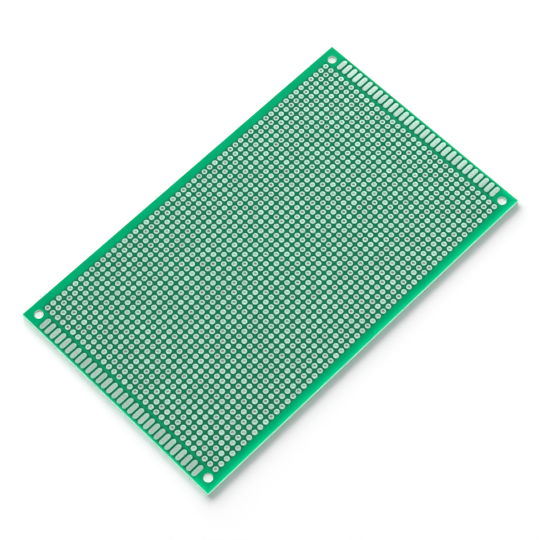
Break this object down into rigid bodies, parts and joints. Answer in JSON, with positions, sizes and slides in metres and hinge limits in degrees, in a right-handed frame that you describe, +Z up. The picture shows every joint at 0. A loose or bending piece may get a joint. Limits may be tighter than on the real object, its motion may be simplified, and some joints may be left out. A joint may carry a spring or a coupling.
{
  "type": "prototype circuit board",
  "caption": "Rectangular prototype circuit board with a full grid of plated through holes, contact pads along both short sides and a mounting hole in each corner.",
  "frame": {"origin": "centre of the underside, on the surface that the board lies on", "axes": "+X along the 150 mm side, +Y along the 90 mm side, +Z up out of the upper face"},
  "size_m": [0.15, 0.09, 0.0016],
  "materials": {
    "laminate": "glass-epoxy laminate, cut edge",
    "solder_mask": "glossy green solder mask",
    "tin": "tinned copper"
  },
  "bodies": {
    "root": {"laminate_1": "laminate", "laminate_2": "laminate", "laminate_3": "laminate", "laminate_4": "laminate", "laminate_5": "laminate", "solder_mask_top_1": "solder_mask", "solder_mask_top_2": "solder_mask", "solder_mask_top_3": "solder_mask", "solder_mask_top_4": "solder_mask", "solder_mask_top_5": "solder_mask", "solder_mask_bottom_1": "solder_mask", "solder_mask_bottom_2": "solder_mask", "solder_mask_bottom_3": "solder_mask", "solder_mask_bottom_4": "solder_mask", "solder_mask_bottom_5": "solder_mask", "plated_holes_1": "tin", "plated_holes_2": "tin", "plated_holes_3": "tin", "plated_holes_4": "tin", "plated_holes_5": "tin", "contact_pads_top": "tin", "contact_pads_bottom": "tin"}
  },
  "joints": []
}
